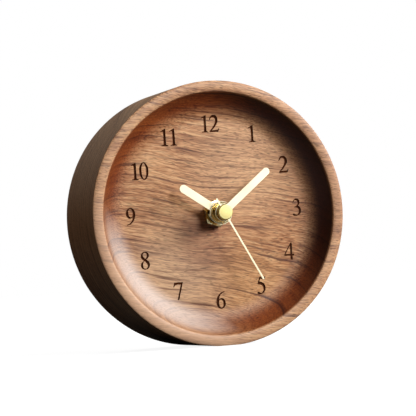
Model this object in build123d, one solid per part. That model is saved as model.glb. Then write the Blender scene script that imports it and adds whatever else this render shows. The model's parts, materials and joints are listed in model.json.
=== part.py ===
from build123d import *
import math
import os

os.makedirs("parts", exist_ok=True)

# Case: a drum turned from one walnut block, standing on a narrow planed flat
case_diameter = 115.0
case_depth = 42.0
foot_width = 10.0
rim_width = 4.7
rim_crown = 0.6
rear_chamfer = 0.8
cove_width = 12.3
dial_depth = 7.4
web_thickness = 6.0
pocket_clearance = 1.6

# Cell bay: one AA cell lies across the bottom of the movement, between two strip contacts
cell_diameter = 14.2
cell_length = 49.0
cell_edge = 0.6
nub_diameter = 5.5
nub_length = 1.5
cell_clearance = 0.3
contact_thickness = 0.4
contact_gap = 0.1
contact_bow = 1.7
contact_width = 9.6
contact_height = 11.0
strip_width = 1.8
strip_clearance = 0.2

# Movement housing: a square moulded shell, closed behind by a plain cover.
# The train, motor and circuit need the room, and a longer cell makes the shell wider.
train_room = 53.2
shell_wall = 1.4
shell_floor = 1.5
shell_corner = 3.0
inner_corner = 1.5
cover_thickness = 1.5
cover_ledge = 0.7
cover_clearance = 0.1
thumb_notch_width = 18.0
thumb_notch_depth = 8.0

# Fixing: a threaded bush and a nut clamp the movement to the wood over a rubber washer
bush_radius = 4.0
bush_proud = 1.1
bush_flange_radius = 6.2
bush_flange_thickness = 0.7
bush_hole_clearance = 0.3
nut_across_flats = 10.6
nut_angle = 18
nut_thickness = 2.5
nut_chamfer = 0.35
washer_radius = 9.0
washer_thickness = 1.0

# Concentric arbors, from the second hand's pin outwards
pin_radius = 0.5
cannon_radius = 1.7
hour_tube_radius = 2.5
running_clearance = 0.05
seat_clearance = 0.02

# Hands: flat stamped batons, set at about 10:08:25, with angles clockwise from twelve
hour_shown = 10
minute_angle = 51
second_angle = 152
hour_length = 21.6
hour_width = 3.5
hour_eye_radius = 5.1
minute_length = 28.2
minute_width = 3.2
minute_eye_radius = 4.7
hand_thickness = 0.5
boss_radius = 3.4
boss_length = 2.0
hour_gap = 1.8
minute_gap = 0.7
tube_proud = 0.25
second_length = 33.8
second_tail = 7.0
second_width = 0.9
second_thickness = 0.3
second_eye_radius = 2.0
second_gap = 0.5
cap_radius = 3.3
cap_thickness = 1.2
cap_chamfer = 0.25
cap_wall = 0.5

# Gear train: tooth counts, modules and the directions in which the arbors stand about the shaft
second_pinion_teeth = 8
third_wheel_teeth = 60
third_pinion_teeth = 8
minute_gear_teeth = 64
second_wheel_teeth = 60
fifth_pinion_teeth = 10
fifth_wheel_teeth = 60
rotor_pinion_teeth = 12
cannon_pinion_teeth = 12
motion_wheel_teeth = 36
motion_pinion_teeth = 10
hour_wheel_teeth = 40
minute_module = 0.25
fifth_module = 0.27
rotor_module = 0.2
motion_module = 0.4
third_bearing = 10
fifth_bearing = 85
motion_bearing = 160
rotor_bearing = 60
pressure_angle = 25
addendum_share = 0.75
dedendum_share = 1.15
tooth_play = 0.05
wheel_steps = 1
pinion_steps = 3
layer_thickness = 1.0
layer_gap = 0.3
arbor_radius = 0.4
setting_arbor_radius = 0.8
pivot_depth = 0.9

# Bridge: the plate behind the train, screwed to four pillars of the shell
bridge_thickness = 1.0
bridge_left = 15.2
bridge_right = 20.5
bridge_top = 17.0
pillar_inset = 3.0
pillar_radius = 1.6
bridge_margin = 0.2
bridge_hole_clearance = 0.3
screw_radius = 0.6
screw_length = 3.0
screw_head_radius = 1.2
screw_head_thickness = 0.8
screw_clearance = 0.1

# Stepping motor: a magnet in a slotted stator plate, with its coil along the top
magnet_radius = 2.8
magnet_length = 2.6
air_gap = 0.5
stator_thickness = 1.3
stator_height = 8.4
leg_width = 4.0
core_height = 2.4
core_thickness = 1.0
coil_length = 16.0
coil_radius = 2.8
bobbin_radius = 3.2
bobbin_wall = 0.5
bobbin_clearance = 0.1
coil_headroom = 0.3

# Circuit: a board on two bosses beside the train
board_width = 8.4
board_height = 26.0
board_thickness = 1.0
board_stand = 2.5
board_lift = 5.0
boss_inset = 2.4
chip_radius = 2.2
chip_thickness = 0.9
chip_lift = 5.0
crystal_radius = 1.0
crystal_length = 6.0

# Setting knob behind the cover, on the rear end of the motion arbor
knob_radius = 6.0
knob_thickness = 3.0
knob_gap = 0.4
knob_edge = 0.5
knob_grips = 18
grip_radius = 0.7
collar_radius = 2.6
collar_height = 0.2

case_radius = case_diameter / 2
shaft_height = math.sqrt(case_radius ** 2 - (foot_width / 2) ** 2)
front = -case_depth / 2
back = case_depth / 2
dial = front + dial_depth
web_back = dial + web_thickness
movement_front = web_back + washer_thickness

bay_height = cell_diameter + 2 * cell_clearance
bay_length = cell_length + nub_length + contact_bow + 2 * (contact_thickness + contact_gap)
chamber_side = max(train_room, bay_length) / 2
shell_size = 2 * (chamber_side + shell_wall)
shell_depth = shell_floor + cell_clearance + cell_diameter
bay_bottom = shell_wall - shell_size / 2
bay_top = bay_bottom + bay_height
chamber_bottom = bay_top + shell_wall
chamber_top = shell_size / 2 - shell_wall
cell_level = bay_bottom + bay_height / 2
cell_depth = movement_front + shell_floor + cell_clearance + cell_diameter / 2
movement_back = movement_front + shell_depth
cover_front = movement_back - cover_thickness
floor_back = movement_front + shell_floor

nut_front = dial - nut_thickness
bush_front = nut_front - bush_proud
hour_boss_back = bush_front - hour_gap
hour_blade_back = hour_boss_back - boss_length
hour_tube_front = hour_blade_back - hand_thickness - tube_proud
minute_boss_back = hour_tube_front - minute_gap
minute_blade_back = minute_boss_back - boss_length
cannon_front = minute_blade_back - hand_thickness - tube_proud
second_blade_back = cannon_front - second_gap
cap_back = second_blade_back - second_thickness
cap_front = cap_back - cap_thickness
pin_front = cap_front + cap_wall

hour_angle = 360 / 12 * hour_shown + minute_angle / 12

third_distance = minute_module * (minute_gear_teeth + third_pinion_teeth) / 2
second_module = 2 * third_distance / (second_pinion_teeth + third_wheel_teeth)
fifth_distance = fifth_module * (second_wheel_teeth + fifth_pinion_teeth) / 2
rotor_distance = rotor_module * (fifth_wheel_teeth + rotor_pinion_teeth) / 2
motion_distance = motion_module * (cannon_pinion_teeth + motion_wheel_teeth) / 2
hour_module = 2 * motion_distance / (motion_pinion_teeth + hour_wheel_teeth)


def polar(radius, degrees):
    """A point at a radius and a bearing, counted from the right, as seen from the front."""
    return (radius * math.cos(math.radians(degrees)), radius * math.sin(math.radians(degrees)))


shaft = (0, 0)
third_at = polar(third_distance, third_bearing)
fifth_at = polar(fifth_distance, fifth_bearing)
motion_at = polar(motion_distance, motion_bearing)
rotor_step = polar(rotor_distance, rotor_bearing)
rotor_at = (fifth_at[0] + rotor_step[0], fifth_at[1] + rotor_step[1])

train_front = floor_back + bush_flange_thickness + layer_gap


def layer(place):
    """Front and back of one of the train's layers, counted from the front."""
    near = train_front + place * (layer_thickness + layer_gap)
    return near, near + layer_thickness


hour_layer = layer(0)
motion_layer = layer(1)
minute_layer = layer(2)
third_layer = layer(3)
second_layer = layer(4)
fifth_layer = layer(5)
bridge_front = layer(6)[0]
bridge_back = bridge_front + bridge_thickness
pivot_front = floor_back - pivot_depth

pillar_places = [
    (side, level)
    for side in (-bridge_left, bridge_right)
    for level in (chamber_bottom + pillar_inset, bridge_top)
]

stator_front = minute_layer[0]
stator_back = stator_front + stator_thickness
core_back = stator_back + core_thickness
coil_level = chamber_top - bobbin_radius - coil_headroom
leg_offset = coil_length / 2 + bobbin_clearance + leg_width / 2
leg_places = [(rotor_at[0] + side * leg_offset, coil_level) for side in (-1, 1)]

board_front = floor_back + board_stand
board_back = board_front + board_thickness
board_left = contact_thickness - chamber_side
board_centre = (board_left + board_width / 2, chamber_bottom + board_lift + board_height / 2)
board_bottom = chamber_bottom + board_lift
board_bosses = [
    (board_centre[0], board_centre[1] + side * (board_height / 2 - boss_inset))
    for side in (-1, 1)
]

strip_back = cover_front - strip_clearance
strip_front = strip_back - strip_width


def slab(outline, near, far):
    """An outline drawn about the shaft, as seen from the front, made solid between two depths."""
    seat = Plane(origin=(0, far, shaft_height), x_dir=(1, 0, 0), z_dir=(0, -1, 0))
    return extrude(seat * outline, far - near)


def disc(radius, near, far, at=shaft):
    return slab(Pos(*at) * Circle(radius), near, far)


def ring(radius, bore, near, far, at=shaft):
    return slab(Pos(*at) * (Circle(radius) - Circle(bore)), near, far)


def block(left, right, low, high, near, far):
    """A box between two sides, two levels about the shaft and two depths."""
    outline = Pos((left + right) / 2, (low + high) / 2) * Rectangle(right - left, high - low)
    return slab(outline, near, far)


def turned(profile):
    """A closed profile of radius and depth, turned about the shaft."""
    seat = Plane(origin=(0, 0, shaft_height), x_dir=(1, 0, 0), z_dir=(0, 0, 1))
    return revolve(seat * make_face(profile), Axis((0, 0, shaft_height), (0, 1, 0)))


def lengthwise(points, depth, level):
    """A closed outline of sideways place and radius, turned about a line from left to right."""
    seat = Plane(origin=(0, depth, shaft_height + level), x_dir=(1, 0, 0), z_dir=(0, 0, 1))
    outline = seat * make_face(Polyline(*points, close=True))
    return revolve(outline, Axis((0, depth, shaft_height + level), (1, 0, 0)))


def gear(teeth, module, aim, tooth_leads, steps, at):
    """An involute gear outline that points a tooth, or else a gap, at its mate."""
    pressure = math.radians(pressure_angle)
    pitch_radius = module * teeth / 2
    base_radius = pitch_radius * math.cos(pressure)
    tip_radius = pitch_radius + addendum_share * module
    root_radius = pitch_radius - dedendum_share * module
    pitch = 360 / teeth
    half_tooth = pitch / 4 - math.degrees(tooth_play / pitch_radius / 2)
    half_base = half_tooth + math.degrees(math.tan(pressure) - pressure)
    flank = []
    for step in range(steps + 1):
        radius = root_radius + (tip_radius - root_radius) * step / steps
        lean = math.acos(min(1, base_radius / radius))
        flank.append((radius, half_base - math.degrees(math.tan(lean) - lean)))
    first = aim if tooth_leads else aim + pitch / 2
    points = []
    for tooth in range(teeth):
        middle = first + pitch * tooth
        points += [polar(radius, middle - half) for radius, half in flank]
        points += [polar(radius, middle + half) for radius, half in reversed(flank)]
    return Pos(*at) * Polygon(*points, align=None)


def wheel(teeth, module, aim, at=shaft):
    return gear(teeth, module, aim, False, wheel_steps, at)


def pinion(teeth, module, aim, at=shaft):
    return gear(teeth, module, aim, True, pinion_steps, at)


def walnut_case():
    """Rim, cove, dial, rear pocket and outside, turned from one block, with the foot planed flat."""
    rim_radius = case_radius - rim_width
    dial_radius = rim_radius - cove_width
    corner_reach = math.sqrt(2) * (shell_size / 2 - shell_corner) + shell_corner
    pocket_radius = corner_reach + pocket_clearance
    bore = bush_radius + bush_hole_clearance
    crown_foot = front + rim_crown
    cove = TangentArc((dial_radius, dial), (rim_radius, crown_foot), tangent=(1, 0))
    crown = EllipticalCenterArc(
        (case_radius - rim_width / 2, crown_foot), rim_width / 2, rim_crown, start_angle=180, arc_size=180
    )
    rear = Polyline(
        (case_radius, crown_foot),
        (case_radius, back - rear_chamfer),
        (case_radius - rear_chamfer, back),
        (pocket_radius + rear_chamfer, back),
        (pocket_radius, back - rear_chamfer),
        (pocket_radius, web_back),
        (bore, web_back),
        (bore, dial),
        (dial_radius, dial),
    )
    below = Pos(0, 0, -case_radius) * Box(case_diameter, case_diameter, case_diameter)
    return turned([cove, crown, rear]) - below


def movement_shell():
    """Moulded shell: train chamber above, open cell bay below, pillars, bosses and pivot holes."""
    body = slab(RectangleRounded(shell_size, shell_size, shell_corner), movement_front, movement_back)
    chamber_middle = (chamber_bottom + chamber_top) / 2
    chamber = RectangleRounded(2 * chamber_side, chamber_top - chamber_bottom, inner_corner)
    body -= slab(Pos(0, chamber_middle) * chamber, floor_back, movement_back)
    body -= slab(Pos(0, chamber_middle) * offset(chamber, cover_ledge), cover_front, movement_back)
    bay = RectangleRounded(bay_length, bay_height, inner_corner)
    body -= slab(Pos(0, cell_level) * bay, floor_back, movement_back)
    notch = RectangleRounded(thumb_notch_width, 2 * shell_wall + bay_height, inner_corner)
    notch_low = Pos(0, cell_level - shell_wall - bay_height / 2) * notch
    body -= slab(notch_low, movement_back - thumb_notch_depth, movement_back)
    for side in (-1, 1):
        slot = Pos(side * (bay_length - inner_corner) / 2, (bay_top + chamber_bottom) / 2)
        outline = slot * Rectangle(inner_corner, shell_wall + 2 * inner_corner)
        body -= slab(outline, strip_front - strip_clearance, cover_front)
    for place in pillar_places:
        body += disc(pillar_radius, floor_back, bridge_front, place)
        body -= disc(screw_radius + screw_clearance, bridge_back - screw_length, bridge_front, place)
    for place in leg_places:
        body += disc(pillar_radius, floor_back, stator_front, place)
        body -= disc(screw_radius + screw_clearance, core_back - screw_length, stator_front, place)
    for place in board_bosses:
        body += disc(pillar_radius, floor_back, board_front, place)
    body -= disc(bush_radius + running_clearance, movement_front, floor_back)
    for place in (third_at, fifth_at, rotor_at):
        body -= disc(arbor_radius + running_clearance, pivot_front, floor_back, place)
    body -= disc(setting_arbor_radius + running_clearance, pivot_front, floor_back, motion_at)
    return body


def movement_cover():
    """Flat cover let into the rear of the shell, with a raised collar round the setting arbor."""
    width = 2 * (chamber_side + cover_ledge - cover_clearance)
    height = chamber_top - chamber_bottom + 2 * (cover_ledge - cover_clearance)
    corner = inner_corner + cover_ledge - cover_clearance
    outline = Pos(0, (chamber_bottom + chamber_top) / 2) * RectangleRounded(width, height, corner)
    plate = slab(outline, cover_front, movement_back)
    plate += disc(collar_radius, movement_back, movement_back + collar_height, motion_at)
    bore = setting_arbor_radius + running_clearance
    return plate - disc(bore, cover_front, movement_back + collar_height, motion_at)


def threaded_bush():
    """Brass bush: its flange lies inside the shell and its stem passes out through the dial."""
    stem = disc(bush_radius, bush_front, floor_back)
    stem += disc(bush_flange_radius, floor_back, floor_back + bush_flange_thickness)
    bore = hour_tube_radius + running_clearance
    return stem - disc(bore, bush_front, floor_back + bush_flange_thickness)


def hex_nut():
    """Hexagon nut on the dial, with its corners turned off at both faces."""
    corner_radius = nut_across_flats / math.sqrt(3)
    nut = slab(Rot(0, 0, -nut_angle) * RegularPolygon(corner_radius, 6), nut_front, dial)
    crown = corner_radius - nut_chamfer
    bore = bush_radius + running_clearance
    profile = Polyline(
        (bore, nut_front),
        (crown, nut_front),
        (corner_radius, nut_front + nut_chamfer),
        (corner_radius, dial - nut_chamfer),
        (crown, dial),
        (bore, dial),
        close=True,
    )
    return nut & turned(profile)


def rubber_washer():
    return ring(washer_radius, bush_radius + bush_hole_clearance, web_back, movement_front)


def train_bridge():
    """Plate behind the train, with a pivot hole for each arbor."""
    edge = pillar_radius + bridge_margin
    low = chamber_bottom + pillar_inset
    middle = Pos((bridge_right - bridge_left) / 2, (low + bridge_top) / 2)
    outline = RectangleRounded(bridge_left + bridge_right + 2 * edge, bridge_top - low + 2 * edge, edge)
    plate = slab(middle * outline, bridge_front, bridge_back)
    for place in (third_at, fifth_at, rotor_at):
        plate -= disc(arbor_radius + running_clearance, bridge_front, bridge_back, place)
    plate -= disc(pin_radius + running_clearance, bridge_front, bridge_back)
    plate -= disc(setting_arbor_radius + bridge_hole_clearance, bridge_front, bridge_back, motion_at)
    for place in pillar_places:
        plate -= disc(screw_radius + screw_clearance, bridge_front, bridge_back, place)
    return plate


def train_screw(place, seat):
    shank = disc(screw_radius, seat - screw_length + screw_clearance, seat, place)
    return shank + disc(screw_head_radius, seat, seat + screw_head_thickness, place)


def train_screws():
    """Four screws through the bridge and two through the coil core."""
    screws = [train_screw(place, bridge_back) for place in pillar_places]
    screws += [train_screw(place, core_back) for place in leg_places]
    return Compound(children=screws)


def stator():
    """Soft iron plate round the magnet, with a leg up to each end of the coil core."""
    half = leg_offset + leg_width / 2
    outline = Pos(*rotor_at) * Rectangle(2 * half, stator_height)
    for place in leg_places:
        leg_top = coil_level + core_height / 2
        leg = Rectangle(leg_width, leg_top - rotor_at[1])
        outline += Pos(place[0], (leg_top + rotor_at[1]) / 2) * leg
        outline -= Pos(*place) * Circle(screw_radius + screw_clearance)
    outline -= Pos(*rotor_at) * Circle(magnet_radius + air_gap)
    return slab(outline, stator_front, stator_back)


def coil_core():
    half = leg_offset + leg_width / 2
    outline = Pos(rotor_at[0], coil_level) * Rectangle(2 * half, core_height)
    for place in leg_places:
        outline -= Pos(*place) * Circle(screw_radius + screw_clearance)
    return slab(outline, stator_back, core_back)


coil_depth = (stator_back + core_back) / 2
tube_radius = math.hypot(core_height, core_thickness) / 2 + bobbin_clearance + bobbin_wall


def coil_bobbin():
    """Reel with a flange at each end and a slot for the core."""
    end = coil_length / 2
    inner = end - bobbin_wall
    points = [
        (rotor_at[0] - end, 0),
        (rotor_at[0] - end, bobbin_radius),
        (rotor_at[0] - inner, bobbin_radius),
        (rotor_at[0] - inner, tube_radius),
        (rotor_at[0] + inner, tube_radius),
        (rotor_at[0] + inner, bobbin_radius),
        (rotor_at[0] + end, bobbin_radius),
        (rotor_at[0] + end, 0),
    ]
    reel = lengthwise(points, coil_depth, coil_level)
    slot_half = core_height / 2 + bobbin_clearance
    return reel - block(
        rotor_at[0] - end, rotor_at[0] + end,
        coil_level - slot_half, coil_level + slot_half,
        stator_back - bobbin_clearance, core_back + bobbin_clearance,
    )


def coil_winding():
    inner = coil_length / 2 - bobbin_wall
    bore = tube_radius + seat_clearance
    points = [
        (rotor_at[0] - inner, bore),
        (rotor_at[0] - inner, coil_radius),
        (rotor_at[0] + inner, coil_radius),
        (rotor_at[0] + inner, bore),
    ]
    return lengthwise(points, coil_depth, coil_level)


def circuit_board():
    outline = Pos(*board_centre) * Rectangle(board_width, board_height)
    return slab(outline, board_front, board_back)


def driver_chip():
    """Round blob of sealing resin over the driver chip."""
    place = (board_centre[0], board_centre[1] + chip_lift)
    blob = disc(chip_radius, board_back, board_back + chip_thickness, place)
    return chamfer(blob.faces().sort_by(Axis.Y)[-1].edges(), chip_thickness / 2)


def quartz_crystal():
    """Small can that lies along the board."""
    depth = board_back + crystal_radius + seat_clearance
    level = shaft_height + board_centre[1] - chip_lift
    return Pos(board_centre[0], depth, level) * Cylinder(crystal_radius, crystal_length)


def contact_plate(side):
    """The upright strip at one end of the bay, with its tail up through the slot in the wall."""
    outer = side * bay_length / 2
    inner = outer - side * contact_thickness
    left = min(outer, inner)
    right = max(outer, inner)
    low = cell_level - contact_width / 2
    high = cell_level + contact_width / 2
    plate_front = cell_depth - contact_height / 2
    plate = block(left, right, low, high, plate_front, strip_back)
    return plate + block(left, right, high, board_bottom, strip_front, strip_back), left, right


def positive_contact():
    strip, left, right = contact_plate(-1)
    strip += block(left, right, board_bottom - strip_width, board_bottom, board_back, strip_back)
    foot_low = board_bottom - strip_width
    foot_high = board_bottom + strip_width
    foot_back = board_back + contact_thickness
    return strip + block(left, left + strip_width, foot_low, foot_high, board_back, foot_back)


def negative_contact():
    """Bowed strip at the flat end of the cell, with a long tail behind the bridge to the board."""
    strip, left, right = contact_plate(1)
    bow_foot = contact_width / 2
    bow_points = [
        (left, 0),
        (left, bow_foot),
        (left - contact_bow, bow_foot / 2),
        (left - contact_bow, 0),
    ]
    bow = lengthwise(bow_points, cell_depth, cell_level)
    low = cell_level - strip_width
    high = cell_level + strip_width
    bow &= block(left - contact_bow, left, low, high, movement_front, movement_back)
    tail_high = chamber_bottom + strip_clearance + contact_thickness
    tail_low = chamber_bottom + strip_clearance
    tail_end = board_left + board_width
    tail_left = tail_end - strip_width
    tail = block(tail_left, right, tail_low, tail_high, strip_front, strip_back)
    tail += block(tail_left, tail_end, tail_low, tail_high, board_back, strip_back)
    foot_back = board_back + contact_thickness
    tail += block(tail_left, tail_end, tail_low, board_bottom + strip_width, board_back, foot_back)
    return strip + bow + tail


def battery_cell():
    """AA cell, its nub to the left, lying on the floor of the bay."""
    nub_end = contact_thickness + contact_gap - bay_length / 2
    shoulder = nub_end + nub_length
    flat_end = shoulder + cell_length
    radius = cell_diameter / 2
    points = [
        (nub_end, 0),
        (nub_end, nub_diameter / 2),
        (shoulder, nub_diameter / 2),
        (shoulder, radius - cell_edge),
        (shoulder + cell_edge, radius),
        (flat_end - cell_edge, radius),
        (flat_end, radius - cell_edge),
        (flat_end, 0),
    ]
    return lengthwise(points, cell_depth, cell_level)


def rotor_pinion():
    shaft_pin = disc(arbor_radius, pivot_front + running_clearance, bridge_back, rotor_at)
    leaves = pinion(rotor_pinion_teeth, rotor_module, rotor_bearing + 180, rotor_at)
    return shaft_pin + slab(leaves, *fifth_layer)


def rotor_magnet():
    middle = (stator_front + stator_back) / 2
    near = middle - magnet_length / 2
    return ring(magnet_radius, arbor_radius + seat_clearance, near, near + magnet_length, rotor_at)


def fifth_wheel():
    body = disc(arbor_radius, pivot_front + running_clearance, bridge_back, fifth_at)
    body += slab(pinion(fifth_pinion_teeth, fifth_module, fifth_bearing + 180, fifth_at), *second_layer)
    body += disc(fifth_module * fifth_pinion_teeth / 2 - fifth_module * dedendum_share,
                 second_layer[1], fifth_layer[0], fifth_at)
    return body + slab(wheel(fifth_wheel_teeth, rotor_module, rotor_bearing, fifth_at), *fifth_layer)


def second_wheel():
    """Wheel and pinion moulded together round the steel pin that carries the second hand."""
    body = slab(pinion(second_pinion_teeth, second_module, third_bearing), *third_layer)
    hub_radius = second_module * (second_pinion_teeth / 2 - dedendum_share)
    body += disc(hub_radius, third_layer[1], second_layer[0])
    body += slab(wheel(second_wheel_teeth, fifth_module, fifth_bearing), *second_layer)
    return body - disc(pin_radius + seat_clearance, third_layer[0], second_layer[1])


def second_arbor():
    return disc(pin_radius, pin_front, bridge_back)


def third_wheel():
    body = disc(arbor_radius, pivot_front + running_clearance, bridge_back, third_at)
    body += slab(pinion(third_pinion_teeth, minute_module, third_bearing + 180, third_at), *minute_layer)
    hub_radius = minute_module * (third_pinion_teeth / 2 - dedendum_share)
    body += disc(hub_radius, minute_layer[1], third_layer[0], third_at)
    return body + slab(wheel(third_wheel_teeth, second_module, third_bearing + 180, third_at), *third_layer)


def minute_gear():
    """Gear that carries the cannon pinion round by friction, and slips on it when the hands are set."""
    body = slab(wheel(minute_gear_teeth, minute_module, third_bearing), *minute_layer)
    return body - disc(cannon_radius + running_clearance, *minute_layer)


def cannon_pinion():
    tube = disc(cannon_radius, cannon_front, minute_layer[1])
    tube += slab(pinion(cannon_pinion_teeth, motion_module, motion_bearing), *motion_layer)
    return tube - disc(pin_radius + running_clearance, cannon_front, minute_layer[1])


def motion_wheel():
    """Wheel and pinion of the motion work, on the arbor that runs out behind to the setting knob."""
    far = movement_back + knob_gap + knob_thickness - knob_edge
    body = disc(setting_arbor_radius, pivot_front + running_clearance, far, motion_at)
    body += slab(pinion(motion_pinion_teeth, hour_module, motion_bearing + 180, motion_at), *hour_layer)
    hub_radius = hour_module * (motion_pinion_teeth / 2 - dedendum_share)
    body += disc(hub_radius, hour_layer[1], motion_layer[0], motion_at)
    teeth = wheel(motion_wheel_teeth, motion_module, motion_bearing + 180, motion_at)
    return body + slab(teeth, *motion_layer)


def hour_wheel():
    tube = disc(hour_tube_radius, hour_tube_front, hour_layer[1])
    tube += slab(wheel(hour_wheel_teeth, hour_module, motion_bearing), *hour_layer)
    return tube - disc(cannon_radius + running_clearance, hour_tube_front, hour_layer[1])


def setting_knob():
    """Fluted knob pressed on the rear end of the motion arbor."""
    near = movement_back + knob_gap
    far = near + knob_thickness
    outline = Circle(knob_radius)
    for grip in range(knob_grips):
        outline -= Pos(*polar(knob_radius, grip * 360 / knob_grips)) * Circle(grip_radius)
    knob = slab(Pos(*motion_at) * outline, near, far)
    return knob - disc(setting_arbor_radius + seat_clearance, near, far - knob_edge, motion_at)


def baton(length, width, eye_radius, bore, angle, tail):
    """A flat hand with a round eye and a round end, turned clockwise from twelve."""
    tip = length - width / 2
    outline = Circle(eye_radius) + Pos(0, tip) * Circle(width / 2)
    outline += Pos(0, (tip - tail) / 2) * Rectangle(width, tip + tail)
    outline -= Circle(bore)
    return Rot(0, 0, -angle) * outline


def hour_hand():
    bore = hour_tube_radius + seat_clearance
    blade = baton(hour_length, hour_width, hour_eye_radius, bore, hour_angle, 0)
    body = slab(blade, hour_blade_back - hand_thickness, hour_blade_back)
    return body + ring(boss_radius, bore, hour_blade_back, hour_boss_back)


def minute_hand():
    bore = cannon_radius + seat_clearance
    blade = baton(minute_length, minute_width, minute_eye_radius, bore, minute_angle, 0)
    body = slab(blade, minute_blade_back - hand_thickness, minute_blade_back)
    return body + ring(boss_radius, bore, minute_blade_back, minute_boss_back)


def second_hand():
    bore = pin_radius + seat_clearance
    blade = baton(second_length, second_width, second_eye_radius, bore, second_angle, second_tail)
    body = slab(blade, cap_back, second_blade_back)
    return body + ring(2 * pin_radius, bore, second_blade_back, cannon_front - running_clearance)


def second_hand_cap():
    """Round cap that closes the front of the second hand's pin."""
    cap = disc(cap_radius, cap_front, cap_back)
    cap = chamfer(cap.faces().sort_by(Axis.Y)[0].edges(), cap_chamfer)
    return cap - disc(pin_radius + seat_clearance, pin_front, cap_back)


pieces = {
    "walnut_case": walnut_case(),
    "movement_shell": movement_shell(),
    "movement_cover": movement_cover(),
    "threaded_bush": threaded_bush(),
    "hex_nut": hex_nut(),
    "rubber_washer": rubber_washer(),
    "train_bridge": train_bridge(),
    "train_screws": train_screws(),
    "stator": stator(),
    "coil_core": coil_core(),
    "coil_bobbin": coil_bobbin(),
    "coil_winding": coil_winding(),
    "circuit_board": circuit_board(),
    "driver_chip": driver_chip(),
    "quartz_crystal": quartz_crystal(),
    "positive_contact": positive_contact(),
    "negative_contact": negative_contact(),
    "battery_cell": battery_cell(),
    "rotor_pinion": rotor_pinion(),
    "rotor_magnet": rotor_magnet(),
    "fifth_wheel": fifth_wheel(),
    "second_wheel": second_wheel(),
    "second_arbor": second_arbor(),
    "third_wheel": third_wheel(),
    "minute_gear": minute_gear(),
    "cannon_pinion": cannon_pinion(),
    "motion_wheel": motion_wheel(),
    "hour_wheel": hour_wheel(),
    "setting_knob": setting_knob(),
    "hour_hand": hour_hand(),
    "minute_hand": minute_hand(),
    "second_hand": second_hand(),
    "second_hand_cap": second_hand_cap(),
}

for name, piece in pieces.items():
    export_step(piece, f"parts/{name}.step")
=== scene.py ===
import json
import math

import bpy
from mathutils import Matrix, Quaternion, Vector

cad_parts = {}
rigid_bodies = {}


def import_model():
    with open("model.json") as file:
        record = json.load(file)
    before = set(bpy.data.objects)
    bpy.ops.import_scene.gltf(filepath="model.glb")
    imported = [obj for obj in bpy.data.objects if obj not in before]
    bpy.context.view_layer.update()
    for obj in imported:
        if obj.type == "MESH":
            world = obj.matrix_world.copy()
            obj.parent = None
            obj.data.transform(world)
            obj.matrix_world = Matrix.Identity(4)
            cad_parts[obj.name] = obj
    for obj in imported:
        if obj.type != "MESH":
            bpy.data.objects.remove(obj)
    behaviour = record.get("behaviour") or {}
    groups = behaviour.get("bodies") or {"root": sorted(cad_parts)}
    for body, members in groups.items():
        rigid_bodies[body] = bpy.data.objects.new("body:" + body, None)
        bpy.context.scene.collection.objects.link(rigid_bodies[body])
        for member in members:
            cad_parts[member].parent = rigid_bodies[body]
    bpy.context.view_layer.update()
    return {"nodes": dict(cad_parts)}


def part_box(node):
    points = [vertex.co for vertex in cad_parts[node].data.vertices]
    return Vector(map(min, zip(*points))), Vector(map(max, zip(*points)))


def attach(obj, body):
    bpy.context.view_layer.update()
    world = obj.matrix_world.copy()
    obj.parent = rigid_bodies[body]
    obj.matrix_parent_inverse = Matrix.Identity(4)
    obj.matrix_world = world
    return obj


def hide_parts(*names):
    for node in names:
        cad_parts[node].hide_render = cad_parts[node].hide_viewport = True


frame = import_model()


# Case
# A drum of solid walnut, turned on a lathe: a narrow rim, a hollow cove, a flat dial and a pocket
# behind for the movement. A planed strip below is its only foot, and the wood has a satin lacquer.
MM = 0.001
case_low, case_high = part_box("walnut_case")
case_radius = (case_high.x - case_low.x) / 2
case_front = case_low.y
case_back = case_high.y
shaft = Vector((0, 0, case_high.z - case_radius))
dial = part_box("hex_nut")[1].y
web_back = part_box("rubber_washer")[0].y
rim_width = 4.7 * MM
rim_crown = 0.6 * MM
rear_round = 0.8 * MM
cove_width = 12.3 * MM
pocket_radius = 39.96 * MM
bush_hole = 4.3 * MM
MERGE = 0.001 * MM


def arc(centre, across, along, start, end, steps):
    """Points along an ellipse about a centre, from one angle in degrees to another."""
    turns = [math.radians(start + (end - start) * step / steps) for step in range(steps + 1)]
    return [(centre[0] + across * math.cos(t), centre[1] + along * math.sin(t)) for t in turns]


def line_through(name, points):
    """A new piece, left in edit mode: a line of edges, drawn from point to point and selected."""
    bpy.ops.object.select_all(action="DESELECT")
    bpy.ops.mesh.primitive_plane_add(size=MM, location=points[0])
    piece = bpy.context.object
    piece.name = name
    bpy.ops.object.mode_set(mode="EDIT")
    bpy.ops.mesh.merge(type="CENTER")
    for here, there in zip(points, points[1:]):
        bpy.ops.mesh.extrude_region_move(TRANSFORM_OT_translate={"value": there - here})
    bpy.ops.mesh.select_all(action="SELECT")
    return piece


def turned(name, profile, steps=96, centre=shaft, along=Vector((0, 1, 0)), out=Vector((1, 0, 0))):
    """A profile of radius and depth, drawn and then spun about a line."""
    piece = line_through(name, [centre + out * radius + along * depth for radius, depth in profile])
    bpy.ops.mesh.spin(steps=steps, angle=math.tau, center=centre, axis=along)
    bpy.ops.mesh.select_all(action="SELECT")
    bpy.ops.mesh.remove_doubles(threshold=MERGE)
    bpy.ops.mesh.normals_make_consistent(inside=False)
    bpy.ops.object.mode_set(mode="OBJECT")
    bpy.ops.object.transform_apply(location=True, rotation=True, scale=True)
    return piece


def pick(piece):
    """Makes one piece the only one that the next operators act on."""
    bpy.ops.object.select_all(action="DESELECT")
    piece.select_set(True)
    bpy.context.view_layer.objects.active = piece


def smooth(piece):
    """Rounds look round and flat faces stay flat."""
    pick(piece)
    bpy.ops.object.shade_smooth_by_angle(angle=math.radians(30))
    bpy.ops.object.modifier_add(type="WEIGHTED_NORMAL")
    piece.modifiers[-1].keep_sharp = True
    bpy.ops.object.modifier_apply(modifier=piece.modifiers[-1].name)


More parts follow.
